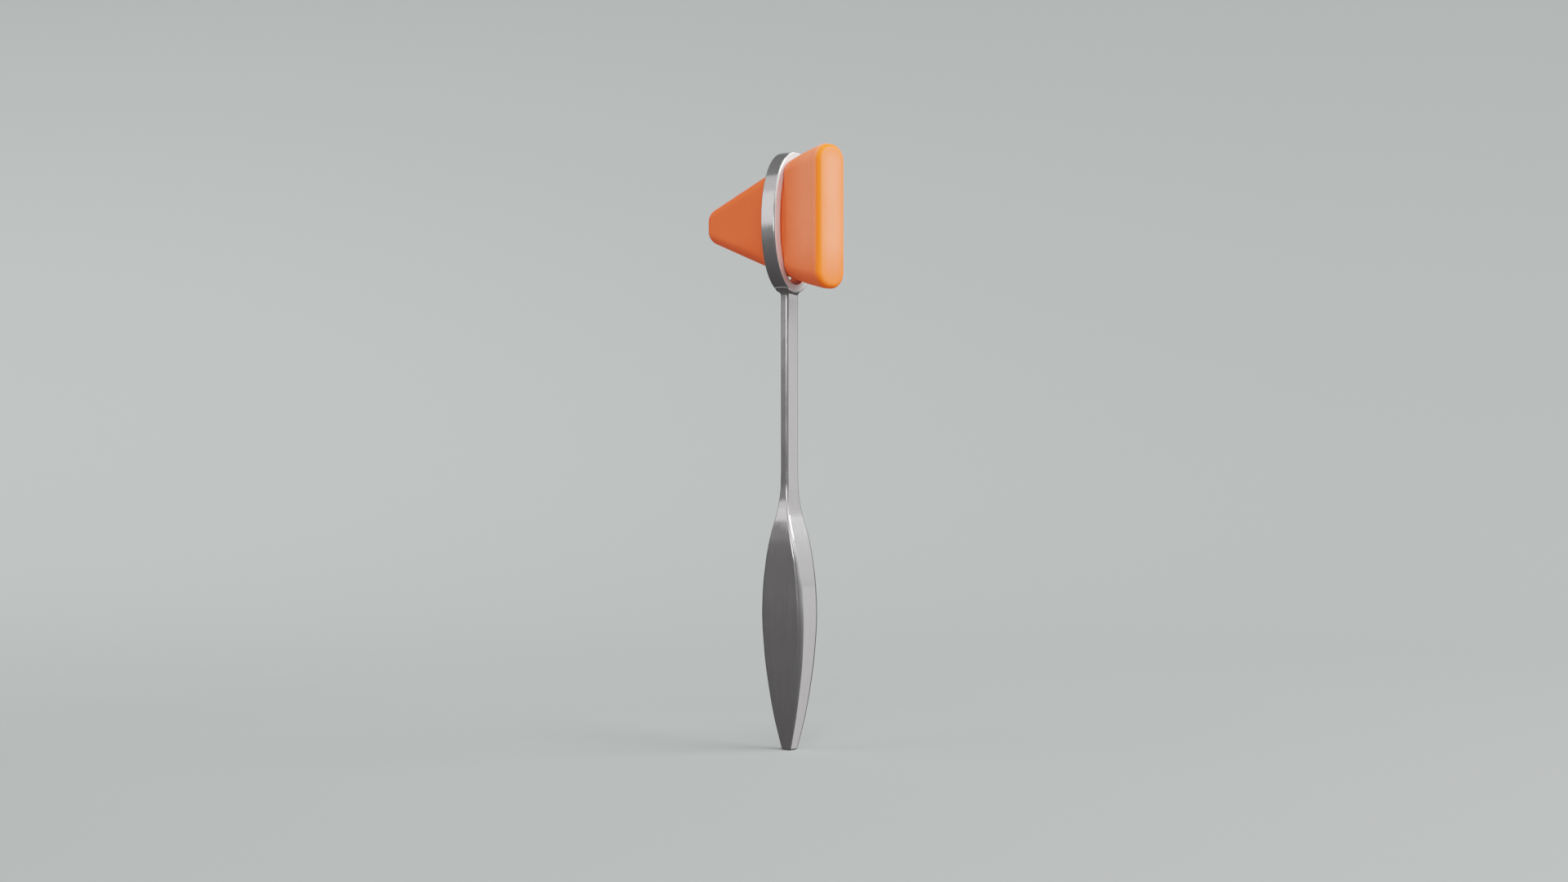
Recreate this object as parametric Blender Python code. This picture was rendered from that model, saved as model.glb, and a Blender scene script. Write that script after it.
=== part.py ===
"""Reflex hammer with a triangular rubber head, an oval steel ring and a flat leaf-shaped handle.

Frame, in metres: +Z runs up the handle, and the origin is the middle of the handle's tip end.
The head lies along X: its broad striking end points to +X and its narrow end to -X.

The steel side is two pieces, a flat forged handle and an oval ring brazed to the handle's flared
top. The rubber head is a wedge that fills the ring and is pulled out of it towards +X.
"""

import math

import bmesh
import bpy

CLEARANCE = 0.0003

# Handle: a flat bar, wide along Y in the shank and wide along X in the leaf-shaped grip.
SHANK_HALF_WIDTH = 0.00165
SHANK_HALF_DEPTH = 0.0026
SHANK_EDGE_RADIUS = 0.0007
SHANK_START_Z = 0.090
TIP_ROUNDING = 0.0007
BRAZE_RADIUS = 0.0015

# Half-width along X, half-depth along Y and the radius of the long edges against height, tip first.
WIDTH_KNOTS = (
    (0.0, 0.0019),
    (0.0050, 0.0034),
    (0.0100, 0.0048),
    (0.0200, 0.0069),
    (0.0300, 0.0084),
    (0.0420, 0.0091),
    (0.0513, 0.0086),
    (0.0590, 0.0073),
    (0.0660, 0.0056),
    (0.0720, 0.0037),
    (0.0750, 0.0028),
    (0.0790, 0.0022),
    (0.0830, 0.0018),
    (SHANK_START_Z, SHANK_HALF_WIDTH),
)
DEPTH_KNOTS = (
    (0.0, 0.0019),
    (0.0120, 0.0029),
    (0.0300, 0.0038),
    (0.0500, 0.0043),
    (0.0600, 0.0043),
    (0.0650, 0.0042),
    (0.0690, 0.00398),
    (0.0720, 0.00372),
    (0.0745, 0.00342),
    (0.0770, 0.0031),
    (0.0800, 0.0028),
    (0.0850, SHANK_HALF_DEPTH),
    (SHANK_START_Z, SHANK_HALF_DEPTH),
)
EDGE_KNOTS = (
    (0.0, 0.0008),
    (0.0120, 0.0012),
    (0.0300, 0.0016),
    (0.0500, 0.0016),
    (0.0620, 0.0012),
    (0.0735, 0.0008),
    (SHANK_START_Z, SHANK_EDGE_RADIUS),
)

# Ring: an oval band around the head, flat across its width along X.
RING_CENTRE_Z = 0.16685
RING_OUTER = (0.0098, 0.0222)
RING_INNER = (0.0069, 0.01945)
RING_HALF_WIDTH = 0.0031
RING_EDGE_RADIUS = 0.0005
OVAL_EXPONENT = 2.155

# Head: a wedge along X whose sections are rounded rectangles in the YZ plane.
HEAD_AXIS_Z = 0.1677
HEAD_NARROW_X = -0.0347
HEAD_BROAD_X = 0.0190
HEAD_HALF_HEIGHT = 0.0176
HEAD_TAPER = 0.366
HEAD_FLARE = 0.377
HEAD_FLARE_EASING = 5.0
HEAD_HALF_DEPTH = 0.0058
HEAD_NARROW_HALF_DEPTH = 0.0040
HEAD_BROAD_HALF_DEPTH = 0.0063
HEAD_CORNER_SHARE = 0.87
HEAD_END_ROUNDING = 0.0024
SEAT_LENGTH = 0.009
SEAT_CUTTER_OUTER = (0.012, 0.026)

HANDLE_STATIONS = 44
HANDLE_CORNER_STEPS = 3
HANDLE_SIDE_STEPS = 6
RING_STEPS = 72
RING_CORNER_STEPS = 2
HEAD_CORNER_STEPS = 7
HEAD_BODY_STATIONS = 16
ROUNDING_STEPS = 6
FLARE_STEPS = 5
FLARE_END_DEGREES = 72.0


def clear_scene():
    """Removes whatever the scene holds."""
    for old in list(bpy.data.objects):
        bpy.data.objects.remove(old, do_unlink=True)


def knot_slopes(knots):
    """Slopes at the knots that keep a curve through them from overshooting."""
    gradients = [(b[1] - a[1]) / (b[0] - a[0]) for a, b in zip(knots, knots[1:])]
    slopes = [gradients[0]]
    for before, after in zip(gradients, gradients[1:]):
        if before * after <= 0.0:
            slopes.append(0.0)
        else:
            slopes.append(2.0 * before * after / (before + after))
    slopes.append(0.0)
    return slopes


def curve_value(knots, slopes, place):
    """The smooth curve through the knots, constant past either end."""
    if place <= knots[0][0]:
        return knots[0][1]
    if place >= knots[-1][0]:
        return knots[-1][1]
    index = max(i for i, knot in enumerate(knots[:-1]) if knot[0] <= place)
    (start, low), (end, high) = knots[index], knots[index + 1]
    span = end - start
    t = (place - start) / span
    rise = (3.0 - 2.0 * t) * t * t
    leaving = t * (1.0 - t) ** 2 * span * slopes[index]
    arriving = t * t * (t - 1.0) * span * slopes[index + 1]
    return low + (high - low) * rise + leaving + arriving


def rounded_rectangle(half_a, half_b, radius, corner_steps, side_steps):
    """Points (a, b) of a rounded rectangle, counter-clockwise from the top of its -a side's corner.

    Each corner takes corner_steps, and each straight side along b is split into side_steps.
    """
    radius = min(radius, 0.98 * half_a, 0.98 * half_b)
    flat_b = half_b - radius
    points = []
    for quarter, (side_a, side_b) in ((1, (-1, 1)), (2, (-1, -1)), (3, (1, -1)), (0, (1, 1))):
        for step in range(corner_steps + 1):
            angle = math.radians(90.0 * (quarter + step / corner_steps))
            a = side_a * (half_a - radius) + radius * math.cos(angle)
            points.append((a, side_b * flat_b + radius * math.sin(angle)))
        if side_a * side_b < 0:
            for step in range(1, side_steps):
                points.append((side_a * half_a, side_b * flat_b * (1.0 - 2.0 * step / side_steps)))
    return points


def oval_point(half_y, half_z, turn):
    """The point (y, z) of a superellipse at a turn from 0 to 1, starting at +Y."""
    angle = 2.0 * math.pi * turn
    direction = math.atan2(half_z * math.sin(angle), half_y * math.cos(angle))
    across = math.cos(direction)
    up = math.sin(direction)
    reach = (abs(across / half_y) ** OVAL_EXPONENT + abs(up / half_z) ** OVAL_EXPONENT) ** (-1.0 / OVAL_EXPONENT)
    return reach * across, reach * up


def ring_underside(y):
    """Height of the ring's outer face at its bottom, for a place y beside the middle."""
    half_y, half_z = RING_OUTER
    return RING_CENTRE_Z - half_z * (1.0 - abs(y / half_y) ** OVAL_EXPONENT) ** (1.0 / OVAL_EXPONENT)


def bridge_sections(mesh, sections):
    """Joins rings of vertices that have the same count, each to the next."""
    for lower, upper in zip(sections, sections[1:]):
        count = len(lower)
        for i in range(count):
            j = (i + 1) % count
            mesh.faces.new((lower[i], lower[j], upper[j], upper[i]))


def ladder_cap(mesh, section):
    """Closes a section that mirrors about its first coordinate with a ladder of faces across it."""
    count = len(section)
    half = count // 2
    for i in range(half - 1):
        a, b = section[i], section[i + 1]
        c, d = section[count - 2 - i], section[count - 1 - i]
        mesh.faces.new((a, b, c, d))


def finish_object(name, mesh, location, material):
    """Turns a bmesh into a smooth-shaded object with outward faces."""
    bmesh.ops.recalc_face_normals(mesh, faces=mesh.faces)
    data = bpy.data.meshes.new(name)
    mesh.to_mesh(data)
    mesh.free()
    data.shade_smooth()
    data.set_sharp_from_angle(angle=math.radians(40.0))
    data.materials.append(material)
    piece = bpy.data.objects.new(name, data)
    piece.location = location
    bpy.context.scene.collection.objects.link(piece)
    return piece


def make_material(name, colour, metallic, roughness):
    """A plain Principled material."""
    material = bpy.data.materials.new(name)
    material.use_nodes = True
    shader = material.node_tree.nodes["Principled BSDF"]
    shader.inputs["Base Color"].default_value = (*colour, 1.0)
    shader.inputs["Metallic"].default_value = metallic
    shader.inputs["Roughness"].default_value = roughness
    return material


def steel_material():
    return make_material("satin_steel", (0.56, 0.55, 0.55), 1.0, 0.30)


def rubber_material():
    return make_material("orange_rubber", (0.80, 0.20, 0.045), 0.0, 0.45)


def handle_section(mesh, half_width, half_depth, radius, height_at):
    """One ring of vertices around the handle, with its height given by a function of y."""
    points = rounded_rectangle(half_width, half_depth, radius, HANDLE_CORNER_STEPS, HANDLE_SIDE_STEPS)
    return [mesh.verts.new((x, y, height_at(y))) for x, y in points]


def tip_sections(mesh, width_at, depth_at, edge_at):
    """The rounded end of the tip, from its flat end face upwards."""
    sections = []
    for step in range(ROUNDING_STEPS):
        angle = math.radians(90.0 * step / ROUNDING_STEPS)
        inset = TIP_ROUNDING * (1.0 - math.sin(angle))
        height = TIP_ROUNDING * (1.0 - math.cos(angle))
        half_width = width_at(height) - inset
        half_depth = depth_at(height) - inset
        sections.append(handle_section(mesh, half_width, half_depth, edge_at(height), lambda y, z=height: z))
    return sections


def leaf_sections(mesh, width_at, depth_at, edge_at):
    """The grip and neck, from the top of the tip's rounding to the start of the shank."""
    sections = []
    for station in range(HANDLE_STATIONS + 1):
        height = TIP_ROUNDING + (SHANK_START_Z - TIP_ROUNDING) * station / HANDLE_STATIONS
        half_width = width_at(height)
        half_depth = depth_at(height)
        sections.append(handle_section(mesh, half_width, half_depth, edge_at(height), lambda y, z=height: z))
    return sections


def flare_sections(mesh):
    """The brazed fillet: the shank's top spreads until it nearly follows the ring's underside."""
    sections = []
    for step in range(FLARE_STEPS + 1):
        angle = math.radians(FLARE_END_DEGREES * step / FLARE_STEPS)
        spread = BRAZE_RADIUS * (1.0 - math.cos(angle))
        drop = BRAZE_RADIUS * (1.0 - math.sin(angle)) + CLEARANCE
        sections.append(
            handle_section(
                mesh,
                SHANK_HALF_WIDTH + spread,
                SHANK_HALF_DEPTH + spread,
                SHANK_EDGE_RADIUS + 0.5 * spread,
                lambda y, below=drop: ring_underside(y) - below,
            )
        )
    section = handle_section(
        mesh,
        SHANK_HALF_WIDTH + spread,
        SHANK_HALF_DEPTH + spread,
        SHANK_EDGE_RADIUS + 0.5 * spread,
        lambda y: ring_underside(y) - CLEARANCE,
    )
    sections.append(section)
    return sections


def make_handle(material):
    """The forged handle in one piece: tip, leaf-shaped grip, neck, shank and flared top."""
    mesh = bmesh.new()
    width_slopes = knot_slopes(WIDTH_KNOTS)
    depth_slopes = knot_slopes(DEPTH_KNOTS)
    edge_slopes = knot_slopes(EDGE_KNOTS)

    def width_at(z):
        return curve_value(WIDTH_KNOTS, width_slopes, z)

    def depth_at(z):
        return curve_value(DEPTH_KNOTS, depth_slopes, z)

    def edge_at(z):
        return curve_value(EDGE_KNOTS, edge_slopes, z)

    sections = tip_sections(mesh, width_at, depth_at, edge_at)
    sections += leaf_sections(mesh, width_at, depth_at, edge_at)
    sections += flare_sections(mesh)
    bridge_sections(mesh, sections)
    ladder_cap(mesh, sections[0])
    ladder_cap(mesh, sections[-1])
    return finish_object("handle", mesh, (0.0, 0.0, 0.0), material)


def oval_band(name, inner, outer, low_x, high_x, edge_radius, material):
    """A closed band around the X axis between two ovals, with rounded edges."""
    mesh = bmesh.new()
    middle_x = 0.5 * (low_x + high_x)
    half_width = 0.5 * (high_x - low_x)
    sections = []
    for step in range(RING_STEPS):
        turn = step / RING_STEPS
        inner_y, inner_z = oval_point(*inner, turn)
        outer_y, outer_z = oval_point(*outer, turn)
        half_wall = 0.5 * math.hypot(outer_y - inner_y, outer_z - inner_z)
        ring = []
        for radial, x in rounded_rectangle(half_wall, half_width, edge_radius, RING_CORNER_STEPS, 1):
            share = 0.5 + 0.5 * radial / half_wall
            y = inner_y + (outer_y - inner_y) * share
            z = inner_z + (outer_z - inner_z) * share
            ring.append(mesh.verts.new((middle_x + x, y, z)))
        sections.append(ring)
    bridge_sections(mesh, sections + sections[:1])
    return finish_object(name, mesh, (0.0, 0.0, RING_CENTRE_Z), material)


def make_ring(handle, material):
    """The oval band that is brazed to the top of the handle."""
    ring = oval_band(
        "head_ring", RING_INNER, RING_OUTER, -RING_HALF_WIDTH, RING_HALF_WIDTH, RING_EDGE_RADIUS, material
    )
    ring.parent = handle
    return ring


def head_half_height(x):
    """Half of the head's height at a place along its axis."""
    if x < 0.0:
        return HEAD_HALF_HEIGHT + HEAD_TAPER * x
    return HEAD_HALF_HEIGHT + HEAD_FLARE * x - HEAD_FLARE_EASING * x * x


def head_half_depth(x):
    """Half of the head's depth along Y at a place along its axis."""
    if x < 0.0:
        return HEAD_HALF_DEPTH + (HEAD_NARROW_HALF_DEPTH - HEAD_HALF_DEPTH) * x / HEAD_NARROW_X
    return HEAD_HALF_DEPTH + (HEAD_BROAD_HALF_DEPTH - HEAD_HALF_DEPTH) * x / HEAD_BROAD_X


def head_stations():
    """Places along the head's axis with the inset that rounds its two ends."""
    steps = range(ROUNDING_STEPS + 1)
    rounding = [math.radians(90.0 * step / ROUNDING_STEPS) for step in steps]
    drop = [(HEAD_END_ROUNDING * (1.0 - math.cos(a)), HEAD_END_ROUNDING * (1.0 - math.sin(a))) for a in rounding]
    narrow = [(HEAD_NARROW_X + along, inset) for along, inset in drop]
    broad = [(HEAD_BROAD_X - along, inset) for along, inset in reversed(drop)]
    start = narrow[-1][0]
    span = broad[0][0] - start
    body = [(start + span * step / HEAD_BODY_STATIONS, 0.0) for step in range(1, HEAD_BODY_STATIONS)]
    return narrow + body + broad


def head_section(mesh, x, inset):
    """One ring of vertices around the head."""
    half_depth = head_half_depth(x) - inset
    half_height = head_half_height(x) - inset
    corner = HEAD_CORNER_SHARE * half_depth
    points = rounded_rectangle(half_depth, half_height, corner, HEAD_CORNER_STEPS, 1)
    return [mesh.verts.new((x, y, z)) for y, z in points]


def cut_with(target, cutter):
    """Cuts one object from another and hides the cutter."""
    cutter.hide_render = True
    cutter.display_type = "WIRE"
    cut = target.modifiers.new("seat", "BOOLEAN")
    cut.operation = "DIFFERENCE"
    cut.solver = "EXACT"
    cut.object = cutter


def make_head(slide, ring_material, material):
    """The rubber head, cut where the ring grips it so that it clears the ring all round."""
    mesh = bmesh.new()
    sections = [head_section(mesh, x, inset) for x, inset in head_stations()]
    bridge_sections(mesh, sections)
    ladder_cap(mesh, sections[0])
    ladder_cap(mesh, sections[-1])
    head = finish_object("rubber_head", mesh, (0.0, 0.0, 0.0), material)
    head.parent = slide
    seat = oval_band(
        "seat_cutter",
        [half - CLEARANCE for half in RING_INNER],
        SEAT_CUTTER_OUTER,
        -SEAT_LENGTH,
        RING_HALF_WIDTH + CLEARANCE,
        0.0,
        ring_material,
    )
    cut_with(head, seat)
    return head


def make_slide(handle):
    """The empty on the head's axis, along which the head is pulled out."""
    slide = bpy.data.objects.new("head_slide", None)
    slide.location = (0.0, 0.0, HEAD_AXIS_Z)
    slide.empty_display_size = 0.01
    slide.parent = handle
    bpy.context.scene.collection.objects.link(slide)
    return slide


def main():
    clear_scene()
    steel = steel_material()
    rubber = rubber_material()
    handle = make_handle(steel)
    make_ring(handle, steel)
    slide = make_slide(handle)
    make_head(slide, steel, rubber)


main()
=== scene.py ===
"""Looks of the reflex hammer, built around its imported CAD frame.

Everything is in metres in the frame's own axes: +Z up the handle from its tip, +X along the rubber
head towards its broad end. The handle, the ring and the rubber head are fine meshes that stand for
the CAD nodes of the same names and follow the same sections.
"""

import math

import bmesh
import bpy
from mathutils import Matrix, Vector


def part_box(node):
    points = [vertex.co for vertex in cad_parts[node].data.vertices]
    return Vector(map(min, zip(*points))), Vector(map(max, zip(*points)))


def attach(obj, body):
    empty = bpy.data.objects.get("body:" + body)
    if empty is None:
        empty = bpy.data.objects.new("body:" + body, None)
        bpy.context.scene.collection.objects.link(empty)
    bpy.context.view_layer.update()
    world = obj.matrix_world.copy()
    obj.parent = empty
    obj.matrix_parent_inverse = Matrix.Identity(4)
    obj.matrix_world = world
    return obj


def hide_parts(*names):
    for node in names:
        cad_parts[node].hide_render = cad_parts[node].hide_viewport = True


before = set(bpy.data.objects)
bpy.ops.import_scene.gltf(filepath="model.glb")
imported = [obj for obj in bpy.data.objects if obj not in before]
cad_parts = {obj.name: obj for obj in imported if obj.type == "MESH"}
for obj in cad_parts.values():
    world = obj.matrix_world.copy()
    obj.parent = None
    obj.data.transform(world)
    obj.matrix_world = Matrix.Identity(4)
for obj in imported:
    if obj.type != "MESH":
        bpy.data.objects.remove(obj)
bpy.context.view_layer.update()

# Places that the frame gives.
RING_LOW, RING_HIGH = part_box("head_ring")
HEAD_LOW, HEAD_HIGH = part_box("rubber_head")

# Handle: half-width along X, half-depth along Y and edge radius of its sections, against height.
SHANK_HALF_WIDTH = 0.00165
SHANK_HALF_DEPTH = 0.0026
SHANK_EDGE_RADIUS = 0.0007
SHANK_START_Z = 0.090
TIP_ROUNDING = 0.0007
BRAZE_RADIUS = 0.0015
WIDTH_KNOTS = (
    (0.0, 0.0019),
    (0.0050, 0.0034),
    (0.0100, 0.0048),
    (0.0200, 0.0069),
    (0.0300, 0.0084),
    (0.0420, 0.0091),
    (0.0513, 0.0086),
    (0.0590, 0.0073),
    (0.0660, 0.0056),
    (0.0720, 0.0037),
    (0.0750, 0.0028),
    (0.0790, 0.0022),
    (0.0830, 0.0018),
    (SHANK_START_Z, SHANK_HALF_WIDTH),
)
DEPTH_KNOTS = (
    (0.0, 0.0019),
    (0.0120, 0.0029),
    (0.0300, 0.0038),
    (0.0500, 0.0043),
    (0.0600, 0.0043),
    (0.0650, 0.0042),
    (0.0690, 0.00398),
    (0.0720, 0.00372),
    (0.0745, 0.00342),
    (0.0770, 0.0031),
    (0.0800, 0.0028),
    (0.0850, SHANK_HALF_DEPTH),
    (SHANK_START_Z, SHANK_HALF_DEPTH),
)
EDGE_KNOTS = (
    (0.0, 0.0008),
    (0.0120, 0.0012),
    (0.0300, 0.0016),
    (0.0500, 0.0016),
    (0.0620, 0.0012),
    (0.0735, 0.0008),
    (SHANK_START_Z, SHANK_EDGE_RADIUS),
)

# Ring: an oval band whose middle and half-axes come from the frame.
RING_CENTRE_Z = 0.5 * (RING_LOW[2] + RING_HIGH[2])
RING_OUTER = (RING_HIGH[1], RING_HIGH[2] - RING_CENTRE_Z)
RING_INNER = (0.0069, 0.01945)
RING_HALF_WIDTH = RING_HIGH[0]
RING_EDGE_RADIUS = 0.0005
OVAL_EXPONENT = 2.155

# A section's corner radius is held to this share of its shorter half-side.
CORNER_LIMIT = 0.98

# Rubber head: a wedge along X with rounded-rectangle sections.
HEAD_AXIS_Z = 0.5 * (HEAD_LOW[2] + HEAD_HIGH[2])
HEAD_NARROW_X = HEAD_LOW[0]
HEAD_BROAD_X = HEAD_HIGH[0]
HEAD_HALF_HEIGHT = 0.0176
HEAD_TAPER = 0.366
HEAD_FLARE = 0.377
HEAD_FLARE_EASING = 5.0
HEAD_HALF_DEPTH = 0.0058
HEAD_NARROW_HALF_DEPTH = 0.0040
HEAD_BROAD_HALF_DEPTH = 0.0063
HEAD_CORNER_SHARE = 0.87
HEAD_END_ROUNDING = 0.0024
SEAT_GAP = 0.00012
LIP_ROUNDING = 0.00045


def knot_slopes(knots):
    """Slopes at the knots that keep a curve through them from overshooting."""
    gradients = [(b[1] - a[1]) / (b[0] - a[0]) for a, b in zip(knots, knots[1:])]
    slopes = [gradients[0]]
    for before, after in zip(gradients, gradients[1:]):
        if before * after <= 0.0:
            slopes.append(0.0)
        else:
            slopes.append(2.0 * before * after / (before + after))
    slopes.append(0.0)
    return slopes


def curve_through(knots):
    """A function that follows a smooth curve through the knots and is constant past either end."""
    slopes = knot_slopes(knots)

    def value(place):
        if place <= knots[0][0]:
            return knots[0][1]
        if place >= knots[-1][0]:
            return knots[-1][1]
        index = max(i for i, knot in enumerate(knots[:-1]) if knot[0] <= place)
        (start, low), (end, high) = knots[index], knots[index + 1]
        span = end - start
        t = (place - start) / span
        rise = (3.0 - 2.0 * t) * t * t
        leaving = t * (1.0 - t) ** 2 * span * slopes[index]
        arriving = t * t * (t - 1.0) * span * slopes[index + 1]
        return low + (high - low) * rise + leaving + arriving

    return value


def rounded_rectangle(half_a, half_b, radius, corner_steps, side_shares):
    """Points (a, b) of a rounded rectangle, counter-clockwise from the top of its -a side's corner.

    Each corner takes corner_steps, and each straight side has points at side_shares of its half-length.
    """
    radius = min(radius, CORNER_LIMIT * half_a, CORNER_LIMIT * half_b)
    flat_a = half_a - radius
    flat_b = half_b - radius
    points = []
    for quarter, (side_a, side_b) in ((1, (-1, 1)), (2, (-1, -1)), (3, (1, -1)), (0, (1, 1))):
        for step in range(corner_steps + 1):
            angle = math.radians(90.0 * (quarter + step / corner_steps))
            a = side_a * flat_a + radius * math.cos(angle)
            points.append((a, side_b * flat_b + radius * math.sin(angle)))
        for share in side_shares:
            if side_a * side_b < 0:
                points.append((side_a * half_a, side_b * flat_b * share))
            else:
                points.append((side_a * flat_a * share, side_b * half_b))
    return points


def oval_sum(half_y, half_z, y, z):
    """The sum that is 1 where a point (y, z) lies on a superellipse."""
    return abs(y / half_y) ** OVAL_EXPONENT + abs(z / half_z) ** OVAL_EXPONENT


def oval_point(half_y, half_z, turn):
    """The point (y, z) of a superellipse at a turn from 0 to 1, starting at +Y."""
    angle = 2.0 * math.pi * turn
    direction = math.atan2(half_z * math.sin(angle), half_y * math.cos(angle))
    across = math.cos(direction)
    up = math.sin(direction)
    reach = oval_sum(half_y, half_z, across, up) ** (-1.0 / OVAL_EXPONENT)
    return reach * across, reach * up


def oval_share(half_y, half_z, y, z):
    """How far out a point (y, z) lies in a superellipse: 0 at its middle and 1 on its edge."""
    return oval_sum(half_y, half_z, y, z) ** (1.0 / OVAL_EXPONENT)


def ring_underside(y):
    """Height of the ring's outer face at its bottom, for a place y beside the middle."""
    half_y, half_z = RING_OUTER
    return RING_CENTRE_Z - half_z * (1.0 - abs(y / half_y) ** OVAL_EXPONENT) ** (1.0 / OVAL_EXPONENT)


def bridge_sections(mesh, sections):
    """Joins rings of vertices that have the same count, each to the next."""
    for lower, upper in zip(sections, sections[1:]):
        count = len(lower)
        for i in range(count):
            j = (i + 1) % count
            mesh.faces.new((lower[i], lower[j], upper[j], upper[i]))


def finish_piece(name, mesh, material):
    """Turns a bmesh into a smooth-shaded object with outward faces."""
    bmesh.ops.recalc_face_normals(mesh, faces=mesh.faces)
    data = bpy.data.meshes.new(name)
    mesh.to_mesh(data)
    mesh.free()
    data.shade_smooth()
    data.materials.append(material)
    piece = bpy.data.objects.new(name, data)
    bpy.context.scene.collection.objects.link(piece)
    return piece


# Points along the straight sides of the handle's and the ring's sections.
SIDE_SHARES = (0.98, 0.75, 0.4, 0.0, -0.4, -0.75, -0.98)

HANDLE_CORNER_STEPS = 8
HANDLE_STATION_GAP = 0.0004
TIP_STEPS = 10
TIP_FACE_INSETS = (0.9, 0.5, 0.2)
TIP_FACE_RADIUS = 0.0003
SHANK_STATIONS = 40
FLARE_STEPS = 14
FLARE_RADIUS_GAIN = 0.5


def level_section(mesh, half_width, half_depth, radius, height):
    """One ring of vertices around the handle, all at one height."""
    points = rounded_rectangle(half_width, half_depth, radius, HANDLE_CORNER_STEPS, SIDE_SHARES)
    return [mesh.verts.new((x, y, height)) for x, y in points]


def flare_section(mesh, angle):
    """One ring of vertices around the flare that meets the ring's underside."""
    spread = BRAZE_RADIUS * (1.0 - math.cos(angle))
    drop = BRAZE_RADIUS * (1.0 - math.sin(angle))
    points = rounded_rectangle(
        SHANK_HALF_WIDTH + spread,
        SHANK_HALF_DEPTH + spread,
        SHANK_EDGE_RADIUS + FLARE_RADIUS_GAIN * spread,
        HANDLE_CORNER_STEPS,
        SIDE_SHARES,
    )
    return [mesh.verts.new((x, y, ring_underside(y) - drop)) for x, y in points]


def make_handle(material):
    """The forged handle in one piece: tip, leaf-shaped grip, neck, shank and flared top."""
    mesh = bmesh.new()
    width_at = curve_through(WIDTH_KNOTS)
    depth_at = curve_through(DEPTH_KNOTS)
    edge_at = curve_through(EDGE_KNOTS)
    sections = []
    for inset in TIP_FACE_INSETS:
        flat = TIP_ROUNDING * (1.0 + inset)
        half_width = width_at(0.0) - flat
        half_depth = depth_at(0.0) - flat
        sections.append(level_section(mesh, half_width, half_depth, TIP_FACE_RADIUS, 0.0))
    for step in range(TIP_STEPS):
        angle = math.radians(90.0 * step / TIP_STEPS)
        inset = TIP_ROUNDING * (1.0 - math.sin(angle))
        height = TIP_ROUNDING * (1.0 - math.cos(angle))
        half_width = width_at(height) - inset
        half_depth = depth_at(height) - inset
        sections.append(level_section(mesh, half_width, half_depth, edge_at(height), height))
    count = round((SHANK_START_Z - TIP_ROUNDING) / HANDLE_STATION_GAP)
    for station in range(count + 1):
        height = TIP_ROUNDING + (SHANK_START_Z - TIP_ROUNDING) * station / count
        sections.append(level_section(mesh, width_at(height), depth_at(height), edge_at(height), height))
    shank_top = ring_underside(0.0) - BRAZE_RADIUS
    for station in range(1, SHANK_STATIONS):
        height = SHANK_START_Z + (shank_top - SHANK_START_Z) * station / SHANK_STATIONS
        sections.append(level_section(mesh, SHANK_HALF_WIDTH, SHANK_HALF_DEPTH, SHANK_EDGE_RADIUS, height))
    for step in range(FLARE_STEPS + 1):
        sections.append(flare_section(mesh, math.radians(90.0 * step / FLARE_STEPS)))
    bridge_sections(mesh, sections)
    mesh.faces.new(sections[0])
    mesh.faces.new(sections[-1])
    return finish_piece("hammer_handle", mesh, material)


RING_STEPS = 256
RING_CORNER_STEPS = 7


def make_ring(material):
    """The oval band around the head, with rounded edges."""
    mesh = bmesh.new()
    sections = []
    for step in range(RING_STEPS):
        turn = step / RING_STEPS
        inner_y, inner_z = oval_point(*RING_INNER, turn)
        outer_y, outer_z = oval_point(*RING_OUTER, turn)
        half_wall = 0.5 * math.hypot(outer_y - inner_y, outer_z - inner_z)
        points = rounded_rectangle(
            half_wall, RING_HALF_WIDTH, RING_EDGE_RADIUS, RING_CORNER_STEPS, SIDE_SHARES
        )
        section = []
        for radial, x in points:
            share = 0.5 + 0.5 * radial / half_wall
            y = inner_y + (outer_y - inner_y) * share
            z = inner_z + (outer_z - inner_z) * share
            section.append(mesh.verts.new((x, y, RING_CENTRE_Z + z)))
        sections.append(section)
    bridge_sections(mesh, sections + sections[:1])
    return finish_piece("hammer_ring", mesh, material)


HEAD_CORNER_STEPS = 18
HEAD_SIDE_SHARES = (0.96, 0.8, 0.6, 0.4, 0.2, 0.0, -0.2, -0.4, -0.6, -0.8, -0.96)
HEAD_END_STEPS = 12
HEAD_STATION_GAP = 0.0006
LIP_STEPS = 8


def head_half_height(x):
    """Half of the head's height at a place along its axis."""
    if x < 0.0:
        return HEAD_HALF_HEIGHT + HEAD_TAPER * x
    return HEAD_HALF_HEIGHT + HEAD_FLARE * x - HEAD_FLARE_EASING * x * x


def head_half_depth(x):
    """Half of the head's depth along Y at a place along its axis."""
    if x < 0.0:
        return HEAD_HALF_DEPTH + (HEAD_NARROW_HALF_DEPTH - HEAD_HALF_DEPTH) * x / HEAD_NARROW_X
    return HEAD_HALF_DEPTH + (HEAD_BROAD_HALF_DEPTH - HEAD_HALF_DEPTH) * x / HEAD_BROAD_X


def head_points(x, inset):
    """Points (y, z) of the head's section at x, measured from the head's axis."""
    half_depth = head_half_depth(x) - inset
    half_height = head_half_height(x) - inset
    corner = HEAD_CORNER_SHARE * half_depth
    return rounded_rectangle(half_depth, half_height, corner, HEAD_CORNER_STEPS, HEAD_SIDE_SHARES)


def seated(y, z):
    """The point (y, z), held inside the ring's inner oval by the seat's gap."""
    rise = HEAD_AXIS_Z - RING_CENTRE_Z
    half_y = RING_INNER[0] - SEAT_GAP
    half_z = RING_INNER[1] - SEAT_GAP
    share = oval_share(half_y, half_z, y, z + rise)
    if share <= 1.0:
        return y, z
    return y / share, (z + rise) / share - rise


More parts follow.
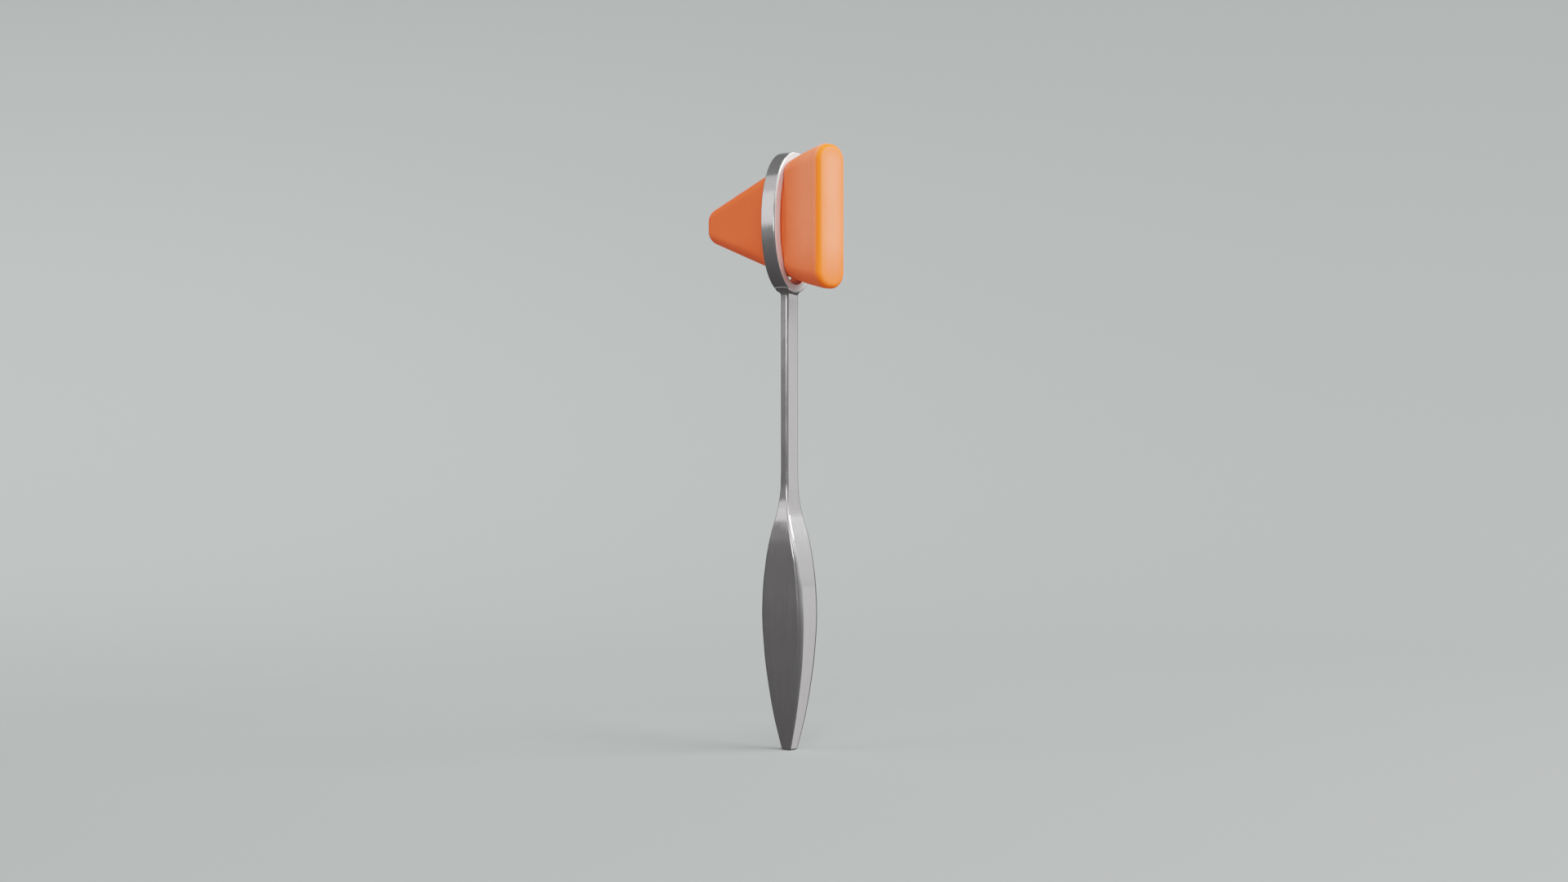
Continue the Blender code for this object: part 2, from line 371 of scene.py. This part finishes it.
def head_section(mesh, x, inset, seat_share):
    """One ring of vertices around the head. A seat share of 1 holds it inside the steel ring's oval."""
    section = []
    for y, z in head_points(x, inset):
        seat_y, seat_z = seated(y, z)
        y_on_seat = y + (seat_y - y) * seat_share
        z_on_seat = HEAD_AXIS_Z + z + (seat_z - z) * seat_share
        section.append(mesh.verts.new((x, y_on_seat, z_on_seat)))
    return section


def lip_section(mesh, angle):
    """One ring of vertices around the rounded lip where the head swells out beside the steel ring."""
    x = RING_HALF_WIDTH + SEAT_GAP + LIP_ROUNDING * (1.0 - math.cos(angle))
    section = []
    for y, z in head_points(x, 0.0):
        seat_y, seat_z = seated(y, z)
        step = math.hypot(y - seat_y, z - seat_z)
        if step > 0.0:
            back = min(step, LIP_ROUNDING) * (1.0 - math.sin(angle)) / step
            y += (seat_y - y) * back
            z += (seat_z - z) * back
        section.append(mesh.verts.new((x, y, HEAD_AXIS_Z + z)))
    return section


def close_end(mesh, section):
    """Closes a mirrored section with a ladder of faces across it."""
    count = len(section)
    for i in range(count // 2):
        a, b = section[i], section[i + 1]
        c, d = section[count - 2 - i], section[count - 1 - i]
        if len({a, b, c, d}) == 4:
            mesh.faces.new((a, b, c, d))


def make_head(material):
    """The rubber wedge, pinched where it sits in the ring."""
    mesh = bmesh.new()
    seat_end = RING_HALF_WIDTH + SEAT_GAP
    narrow_end = HEAD_NARROW_X + HEAD_END_ROUNDING
    broad_end = HEAD_BROAD_X - HEAD_END_ROUNDING
    angles = [math.radians(90.0 * step / HEAD_END_STEPS) for step in range(HEAD_END_STEPS + 1)]
    sections = []
    for angle in angles:
        x = HEAD_NARROW_X + HEAD_END_ROUNDING * (1.0 - math.cos(angle))
        sections.append(head_section(mesh, x, HEAD_END_ROUNDING * (1.0 - math.sin(angle)), 1.0))
    count = round((seat_end - narrow_end) / HEAD_STATION_GAP)
    for station in range(1, count + 1):
        x = narrow_end + (seat_end - narrow_end) * station / count
        sections.append(head_section(mesh, x, 0.0, 1.0))
    for step in range(LIP_STEPS + 1):
        sections.append(lip_section(mesh, math.radians(90.0 * step / LIP_STEPS)))
    lip_end = seat_end + LIP_ROUNDING
    count = round((broad_end - lip_end) / HEAD_STATION_GAP)
    for station in range(1, count):
        x = lip_end + (broad_end - lip_end) * station / count
        sections.append(head_section(mesh, x, 0.0, 0.0))
    for angle in reversed(angles):
        x = HEAD_BROAD_X - HEAD_END_ROUNDING * (1.0 - math.cos(angle))
        sections.append(head_section(mesh, x, HEAD_END_ROUNDING * (1.0 - math.sin(angle)), 0.0))
    bridge_sections(mesh, sections)
    close_end(mesh, sections[0])
    close_end(mesh, sections[-1])
    return finish_piece("hammer_head", mesh, material)


# --- Materials -------------------------------------------------------------------------------

# A mix node keeps its colour inputs and result at these places among its sockets.
MIX_FACTOR = 0
MIX_FIRST_COLOUR = 6
MIX_SECOND_COLOUR = 7
MIX_COLOUR_RESULT = 2


def new_material(name):
    """An empty node material with its node tree and its Principled shader."""
    material = bpy.data.materials.new(name)
    material.use_nodes = True
    return material, material.node_tree, material.node_tree.nodes["Principled BSDF"]


def add_node(tree, kind, inputs, **settings):
    """A node with its settings, and with each input given a value or linked to a socket."""
    node = tree.nodes.new(kind)
    for setting, value in settings.items():
        setattr(node, setting, value)
    for name, value in inputs.items():
        if isinstance(value, bpy.types.NodeSocket):
            tree.links.new(value, node.inputs[name])
        else:
            node.inputs[name].default_value = value
    return node


def calculate(tree, operation, *values):
    """The result of a math node."""
    return add_node(tree, "ShaderNodeMath", dict(enumerate(values)), operation=operation).outputs[0]


def rescale(tree, value, low, high, new_low, new_high):
    """A value moved smoothly from one range to another, and held inside it."""
    inputs = {"Value": value, "From Min": low, "From Max": high, "To Min": new_low, "To Max": new_high}
    node = add_node(tree, "ShaderNodeMapRange", inputs, interpolation_type="SMOOTHSTEP")
    return node.outputs["Result"]


def mix_colours(tree, share, first, second):
    """A colour between two colours, by the share of the second."""
    inputs = {MIX_FACTOR: share, MIX_FIRST_COLOUR: first, MIX_SECOND_COLOUR: second}
    return add_node(tree, "ShaderNodeMix", inputs, data_type="RGBA").outputs[MIX_COLOUR_RESULT]


def noise(tree, place, scale, detail=3.0):
    """A noise value around 0.5, at a scale in features per metre."""
    inputs = {"Vector": place, "Scale": scale, "Detail": detail, "Roughness": 0.6}
    return add_node(tree, "ShaderNodeTexNoise", inputs).outputs["Fac"]


def bump(tree, height, strength, distance):
    """A bumped normal."""
    inputs = {"Height": height, "Strength": strength, "Distance": distance}
    return add_node(tree, "ShaderNodeBump", inputs).outputs["Normal"]


def piece_place(tree):
    """The place on a piece, in metres from the frame's origin."""
    return tree.nodes.new("ShaderNodeTexCoord").outputs["Object"]


def split(tree, vector):
    """The three parts of a vector."""
    return add_node(tree, "ShaderNodeSeparateXYZ", {"Vector": vector}).outputs


def square(tree, value):
    """A value times itself."""
    return calculate(tree, "MULTIPLY", value, value)


def squared_x_normal(tree):
    """The square of the X part of the surface's own normal: 1 on faces square to X."""
    normal = tree.nodes.new("ShaderNodeNewGeometry").outputs["Normal"]
    return square(tree, split(tree, normal)["X"])


def rounded_edge(tree, low, high):
    """1 along the rounded edges that run across the X direction, 0 on the faces on either side.

    The product it is made from is 0.25 in the middle of such an edge; low and high are the products
    where the share starts and where it is full.
    """
    squared = squared_x_normal(tree)
    rest = calculate(tree, "SUBTRACT", 1.0, squared)
    return rescale(tree, calculate(tree, "MULTIPLY", squared, rest), low, high, 0.0, 1.0)


def side_face(tree):
    """1 on the faces square to the X direction, 0 elsewhere."""
    return rescale(tree, squared_x_normal(tree), 0.75, 0.95, 0.0, 1.0)


# Grain: how much slower it changes along the handle, and the metres of noise in a radian of ring.
GRAIN_STRETCH = (1.0, 1.0, 0.03)
RING_GRAIN_STRETCH = 0.0004


def lengthwise_grain(tree):
    """Coordinates that stretch a noise along the handle."""
    inputs = {0: piece_place(tree), 1: GRAIN_STRETCH}
    return add_node(tree, "ShaderNodeVectorMath", inputs, operation="MULTIPLY").outputs[0]


def ringwise_grain(tree):
    """Coordinates that stretch a noise around the ring."""
    parts = split(tree, piece_place(tree))
    up = calculate(tree, "SUBTRACT", parts["Z"], RING_CENTRE_Z)
    turn = calculate(tree, "ARCTAN2", up, parts["Y"])
    reach = calculate(tree, "SQRT", calculate(tree, "ADD", square(tree, up), square(tree, parts["Y"])))
    inputs = {"X": parts["X"], "Y": reach, "Z": calculate(tree, "MULTIPLY", turn, RING_GRAIN_STRETCH)}
    return add_node(tree, "ShaderNodeCombineXYZ", inputs).outputs["Vector"]


STEEL_DARK = (0.61, 0.580, 0.578, 1.0)
STEEL_PLAIN = (0.68, 0.648, 0.648, 1.0)
STEEL_WORN = (0.77, 0.745, 0.745, 1.0)
STEEL_FINE_GRAIN = 6000.0
STEEL_COARSE_GRAIN = 1100.0
STEEL_PATCHES = 120.0
STEEL_SMOOTH = 0.11
STEEL_SMUDGED = 0.17
STEEL_STREAK = 0.025
STEEL_EDGE_POLISH = 0.02
STEEL_BUMP_STRENGTH = 0.12
STEEL_BUMP_DEPTH = 0.00002
HAZE_IOR = 2.0
HAZE_ROUGHNESS = 0.5
RING_SIDE_ROUGHNESS = 0.42


def steel_material(name, grain_place, side_roughness):
    """Fine-ground stainless steel under a soft haze, with brighter wear along its edges.

    The side roughness is added on the faces square to X, which the ring's polish leaves duller.
    """
    material, tree, shader = new_material(name)
    fine = noise(tree, grain_place(tree), STEEL_FINE_GRAIN)
    coarse = noise(tree, grain_place(tree), STEEL_COARSE_GRAIN, 5.0)
    patches = noise(tree, piece_place(tree), STEEL_PATCHES, 4.0)
    half_fine = calculate(tree, "MULTIPLY", fine, 0.5)
    half_coarse = calculate(tree, "MULTIPLY", coarse, 0.5)
    grain = calculate(tree, "ADD", half_fine, half_coarse)
    wear = rescale(tree, patches, 0.35, 0.6, 0.5, 1.0)
    edge = calculate(tree, "MULTIPLY", rounded_edge(tree, 0.08, 0.22), wear)

    face_share = rescale(tree, grain, 0.35, 0.65, 0.0, 1.0)
    face_colour = mix_colours(tree, face_share, STEEL_DARK, STEEL_PLAIN)
    tree.links.new(mix_colours(tree, edge, face_colour, STEEL_WORN), shader.inputs["Base Color"])

    streaks = rescale(tree, grain, 0.3, 0.7, -STEEL_STREAK, STEEL_STREAK)
    smudges = rescale(tree, patches, 0.3, 0.7, STEEL_SMOOTH, STEEL_SMUDGED)
    polish = calculate(tree, "MULTIPLY", edge, STEEL_EDGE_POLISH)
    rough = calculate(tree, "SUBTRACT", calculate(tree, "ADD", smudges, streaks), polish)
    if side_roughness:
        duller = calculate(tree, "MULTIPLY", side_face(tree), side_roughness)
        rough = calculate(tree, "ADD", rough, duller)
    tree.links.new(rough, shader.inputs["Roughness"])
    tree.links.new(bump(tree, grain, STEEL_BUMP_STRENGTH, STEEL_BUMP_DEPTH), shader.inputs["Normal"])

    shader.inputs["Metallic"].default_value = 1.0
    shader.inputs["Coat Weight"].default_value = 1.0
    shader.inputs["Coat IOR"].default_value = HAZE_IOR
    shader.inputs["Coat Roughness"].default_value = HAZE_ROUGHNESS
    return material


RUBBER_PLAIN = (0.85, 0.092, 0.0280, 1.0)
RUBBER_DEEP = (0.79, 0.082, 0.0230, 1.0)
# A pale painted light for the head's lit broad end.
RUBBER_PAINTED_LIGHT = (0.99, 0.162, 0.075, 1.0)
# A saturated painted glow along the head's rounded edges and the rim of its broad face.
RUBBER_PAINTED_GLOW = (0.98, 0.098, 0.008, 1.0)
RUBBER_CLOUDS = 90.0
RUBBER_GRAIN = 2600.0
RUBBER_SPECKLE = 900.0
RUBBER_SMOOTH = 0.48
RUBBER_ROUGH = 0.62
RUBBED_ROUGHNESS = 0.25
RUBBER_BUMP_STRENGTH = 0.1
RUBBER_BUMP_DEPTH = 0.00004
RUBBER_SPECULAR = 0.1

# Painted light on the head's lit broad end: it starts and is full at these places along the head, and it
# thins out towards the shaded bottom.
PAINTED_LIGHT_START_X = 0.001
PAINTED_LIGHT_FULL_X = 0.014
PAINTED_LIGHT_LOW_Z = 0.145
PAINTED_LIGHT_HIGH_Z = 0.163
PAINTED_LIGHT_LOW_SHARE = 0.15

# Rim of the broad face: how far from the head's axis its round ends start, the distances from its
# middle line where the rim's painted glow starts and is full, and that full share.
RIM_STRAIGHT = HEAD_HIGH[2] - HEAD_AXIS_Z - HEAD_BROAD_HALF_DEPTH
RIM_START = 0.0010
RIM_FULL = 0.0052
RIM_SHARE = 0.55


def broad_rim_glow(tree, place):
    """A share of painted glow that grows from the middle line of the head's broad face to its rim."""
    parts = split(tree, place)
    off_axis = calculate(tree, "ABSOLUTE", calculate(tree, "SUBTRACT", parts["Z"], HEAD_AXIS_Z))
    past_straight = calculate(tree, "MAXIMUM", calculate(tree, "SUBTRACT", off_axis, RIM_STRAIGHT), 0.0)
    squares = calculate(tree, "ADD", square(tree, parts["Y"]), square(tree, past_straight))
    reach = calculate(tree, "SQRT", squares)
    rim = rescale(tree, reach, RIM_START, RIM_FULL, 0.0, RIM_SHARE)
    return calculate(tree, "MULTIPLY", rim, side_face(tree))


def rubber_material():
    """Moulded orange rubber with pale painted light on its lit broad end and a saturated painted glow
    along its edges, which are also rougher.
    """
    material, tree, shader = new_material("orange_rubber")
    place = piece_place(tree)
    parts = split(tree, place)
    clouds = noise(tree, place, RUBBER_CLOUDS, 4.0)
    grain = noise(tree, place, RUBBER_GRAIN, 2.0)
    speckle = noise(tree, place, RUBBER_SPECKLE, 2.0)

    plain = mix_colours(tree, rescale(tree, clouds, 0.3, 0.7, 0.0, 1.0), RUBBER_DEEP, RUBBER_PLAIN)
    # Painted light: paler towards the lit broad end, thinning out towards the shaded bottom, in patches.
    reach = rescale(tree, parts["X"], PAINTED_LIGHT_START_X, PAINTED_LIGHT_FULL_X, 0.0, 1.0)
    height = rescale(tree, parts["Z"], PAINTED_LIGHT_LOW_Z, PAINTED_LIGHT_HIGH_Z, PAINTED_LIGHT_LOW_SHARE, 1.0)
    mottle = calculate(tree, "ADD", clouds, calculate(tree, "MULTIPLY", speckle, 0.4))
    patchy = rescale(tree, mottle, 0.45, 0.85, 0.8, 1.0)
    painted_light = calculate(tree, "MULTIPLY", calculate(tree, "MULTIPLY", reach, patchy), height)
    with_painted_light = mix_colours(tree, painted_light, plain, RUBBER_PAINTED_LIGHT)

    # Painted glow along the rounded edges and the broad face's rim, towards the broad end; the same edges
    # are also made rougher.
    glow_and_matte_edges = calculate(tree, "MAXIMUM", rounded_edge(tree, 0.0, 0.20), broad_rim_glow(tree, place))
    painted_glow_and_matte = calculate(tree, "MULTIPLY", glow_and_matte_edges, reach)
    tree.links.new(mix_colours(tree, painted_glow_and_matte, with_painted_light, RUBBER_PAINTED_GLOW), shader.inputs["Base Color"])

    speckled = calculate(tree, "ADD", clouds, speckle)
    faces = rescale(tree, speckled, 0.7, 1.3, RUBBER_SMOOTH, RUBBER_ROUGH)
    rough = calculate(tree, "ADD", faces, calculate(tree, "MULTIPLY", painted_glow_and_matte, RUBBED_ROUGHNESS))
    tree.links.new(rough, shader.inputs["Roughness"])
    tree.links.new(bump(tree, grain, RUBBER_BUMP_STRENGTH, RUBBER_BUMP_DEPTH), shader.inputs["Normal"])
    shader.inputs["Specular IOR Level"].default_value = RUBBER_SPECULAR
    return material


# --- Stage, light and camera -----------------------------------------------------------------

VIEW_DEGREES = 45.0
RIGHT = Vector((math.cos(math.radians(VIEW_DEGREES)), math.sin(math.radians(VIEW_DEGREES)), 0.0))
BACK = Vector((math.sin(math.radians(VIEW_DEGREES)), -math.cos(math.radians(VIEW_DEGREES)), 0.0))
UP = Vector((0.0, 0.0, 1.0))


def stage_point(right, back, up):
    """A place given by how far it is right of the hammer, towards the camera and up."""
    return RIGHT * right + BACK * back + UP * up


# Camera: lens and sensor in millimetres, its place, and a small turn to its left that sets the
# hammer just right of the picture's middle.
CAMERA_LENS = 50.0
CAMERA_SENSOR = 36.0
CAMERA_BACK = 0.6898
CAMERA_UP = 0.09776
CAMERA_TURN_DEGREES = 0.1434


def make_camera():
    """A level camera at mid-height of the hammer, 45 degrees round from the flat of the grip."""
    data = bpy.data.cameras.new("camera")
    data.lens = CAMERA_LENS
    data.sensor_width = CAMERA_SENSOR
    camera = bpy.data.objects.new("camera", data)
    camera.location = stage_point(0.0, CAMERA_BACK, CAMERA_UP)
    turn = math.radians(VIEW_DEGREES + CAMERA_TURN_DEGREES)
    camera.rotation_euler = (math.radians(90.0), 0.0, turn)
    bpy.context.scene.collection.objects.link(camera)
    bpy.context.scene.camera = camera


# Stage: the floor runs from in front of the hammer to where it starts to curve up behind it.
STAGE_FRONT = 2.5
STAGE_CURVE_START = -0.3
STAGE_CURVE_RADIUS = 1.2
STAGE_CURVE_STEPS = 32
STAGE_TOP = 2.6
STAGE_HALF_WIDTH = 2.2
STAGE_COLOUR = (0.194, 0.2105, 0.2065, 1.0)
STAGE_ROUGHNESS = 0.9
STAGE_SPECULAR = 0.1


def make_stage():
    """A pale sweep: a floor that curves up behind the hammer."""
    material, _, shader = new_material("pale_stage")
    shader.inputs["Base Color"].default_value = STAGE_COLOUR
    shader.inputs["Roughness"].default_value = STAGE_ROUGHNESS
    shader.inputs["Specular IOR Level"].default_value = STAGE_SPECULAR
    # The row under the hammer keeps the floor's smooth shading level in front of it.
    profile = [(STAGE_FRONT, 0.0), (0.0, 0.0)]
    for step in range(STAGE_CURVE_STEPS + 1):
        angle = math.radians(90.0 * step / STAGE_CURVE_STEPS)
        back = STAGE_CURVE_START - STAGE_CURVE_RADIUS * math.sin(angle)
        profile.append((back, STAGE_CURVE_RADIUS * (1.0 - math.cos(angle))))
    profile.append((STAGE_CURVE_START - STAGE_CURVE_RADIUS, STAGE_TOP))
    mesh = bmesh.new()
    rows = []
    for back, up in profile:
        left_place = stage_point(-STAGE_HALF_WIDTH, back, up)
        right_place = stage_point(STAGE_HALF_WIDTH, back, up)
        rows.append((mesh.verts.new(left_place), mesh.verts.new(right_place)))
    for (left, right), (next_left, next_right) in zip(rows, rows[1:]):
        mesh.faces.new((left, right, next_right, next_left))
    data = bpy.data.meshes.new("stage")
    mesh.to_mesh(data)
    mesh.free()
    data.shade_smooth()
    data.materials.append(material)
    stage = bpy.data.objects.new("stage", data)
    bpy.context.scene.collection.objects.link(stage)
    stage.visible_glossy = False
    stage.visible_shadow = False


# Light: the place that the softboxes face, and how far they are from it.
LIGHT_CENTRE = Vector((0.0, 0.0, 0.10))
LIGHT_DISTANCE = 2.0

# Softboxes: the azimuths and elevations that each fills as seen from the hammer, in degrees, and
# its radiance. Azimuth 0 is behind the camera and 90 is to its right.
SOFTBOXES = (
    ("key_softbox", (45.0, 75.0), (27.0, 40.0), 48.0),
    ("high_front_softbox", (-18.0, 45.0), (41.0, 60.0), 16.5),
    ("high_right_softbox", (75.0, 105.0), (27.0, 60.0), 11.5),
    ("front_fill", (-18.0, 15.0), (17.0, 41.0), 2.5),
    ("left_softbox", (-106.0, -74.0), (6.4, 22.0), 1.25),
    ("upper_left_softbox", (-106.0, -74.0), (22.0, 34.0), 0.6),
    ("low_left_card", (-106.0, -74.0), (0.5, 6.4), 0.05),
    ("left_front_strip", (-74.0, -48.0), (3.0, 9.0), 7.0),
    ("high_left_softbox", (-74.0, -48.0), (27.0, 40.0), 1.4),
    ("low_right_card", (72.0, 106.0), (-45.0, 3.6), 0.62),
    ("right_card", (72.0, 106.0), (3.6, 27.0), 0.42),
    ("back_softbox", (140.0, 200.0), (50.0, 80.0), 1.4),
)


# Backdrop lamp: it lights the sweep's left side from above and leaves the hammer alone.
BACKDROP_LAMP_PLACE = stage_point(-0.95, -0.2, 0.95)
BACKDROP_LAMP_AIM = stage_point(-0.6, -1.0, -0.05)
BACKDROP_LAMP_SIZE = (1.4, 0.8)
BACKDROP_LAMP_RADIANCE = 2.8
BACKDROP_LAMP_SPREAD_DEGREES = 90.0

SURROUND_COLOUR = (1.0, 0.98, 0.98, 1.0)
SURROUND_STRENGTH = 0.06


def make_area_lamp(name, place, aim, width, height, radiance):
    """A rectangular lamp of a given radiance that faces a place and isn't seen by the camera."""
    data = bpy.data.lights.new(name, "AREA")
    data.shape = "RECTANGLE"
    data.size = width
    data.size_y = height
    data.energy = radiance * math.pi * width * height
    lamp = bpy.data.objects.new(name, data)
    lamp.location = place
    lamp.rotation_euler = (aim - place).to_track_quat("-Z", "Y").to_euler()
    lamp.visible_camera = False
    bpy.context.scene.collection.objects.link(lamp)
    return lamp


def make_softbox(name, azimuths, elevations, radiance):
    """A lamp that fills a range of directions as seen from the hammer."""
    turn = math.radians(0.5 * sum(azimuths))
    rise = math.radians(0.5 * sum(elevations))
    half_turn = math.radians(0.5 * (azimuths[1] - azimuths[0]))
    half_rise = math.radians(0.5 * (elevations[1] - elevations[0]))
    away = stage_point(math.sin(turn) * math.cos(rise), math.cos(turn) * math.cos(rise), math.sin(rise))
    width = 2.0 * LIGHT_DISTANCE * math.cos(rise) * math.tan(half_turn)
    height = 2.0 * LIGHT_DISTANCE * math.tan(half_rise)
    make_area_lamp(name, LIGHT_CENTRE + away * LIGHT_DISTANCE, LIGHT_CENTRE, width, height, radiance)


def make_lights():
    """Soft studio light around the hammer, and one wide lamp for the backdrop."""
    for name, azimuths, elevations, radiance in SOFTBOXES:
        make_softbox(name, azimuths, elevations, radiance)
    backdrop_lamp = make_area_lamp(
        "backdrop_lamp",
        BACKDROP_LAMP_PLACE,
        BACKDROP_LAMP_AIM,
        *BACKDROP_LAMP_SIZE,
        BACKDROP_LAMP_RADIANCE,
    )
    backdrop_lamp.data.spread = math.radians(BACKDROP_LAMP_SPREAD_DEGREES)
    world = bpy.data.worlds.new("dim_surround")
    world.use_nodes = True
    background = world.node_tree.nodes["Background"]
    background.inputs["Color"].default_value = SURROUND_COLOUR
    background.inputs["Strength"].default_value = SURROUND_STRENGTH
    bpy.context.scene.world = world


VIEW_EXPOSURE = 0.15


def main():
    """Builds the three pieces, then the stage, the light and the camera."""
    handle_steel = steel_material("satin_steel", lengthwise_grain, 0.0)
    ring_steel = steel_material("satin_steel_ring", ringwise_grain, RING_SIDE_ROUGHNESS)
    rubber = rubber_material()
    for piece, body, node, slot in (
        (make_handle(handle_steel), "handle", "handle", "steel"),
        (make_ring(ring_steel), "handle", "head_ring", "steel"),
        (make_head(rubber), "rubber_head", "rubber_head", "rubber"),
    ):
        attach(piece, body)
        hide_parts(node)
    make_stage()
    make_lights()
    make_camera()
    bpy.context.scene.view_settings.view_transform = "Filmic"
    bpy.context.scene.view_settings.exposure = VIEW_EXPOSURE


main()
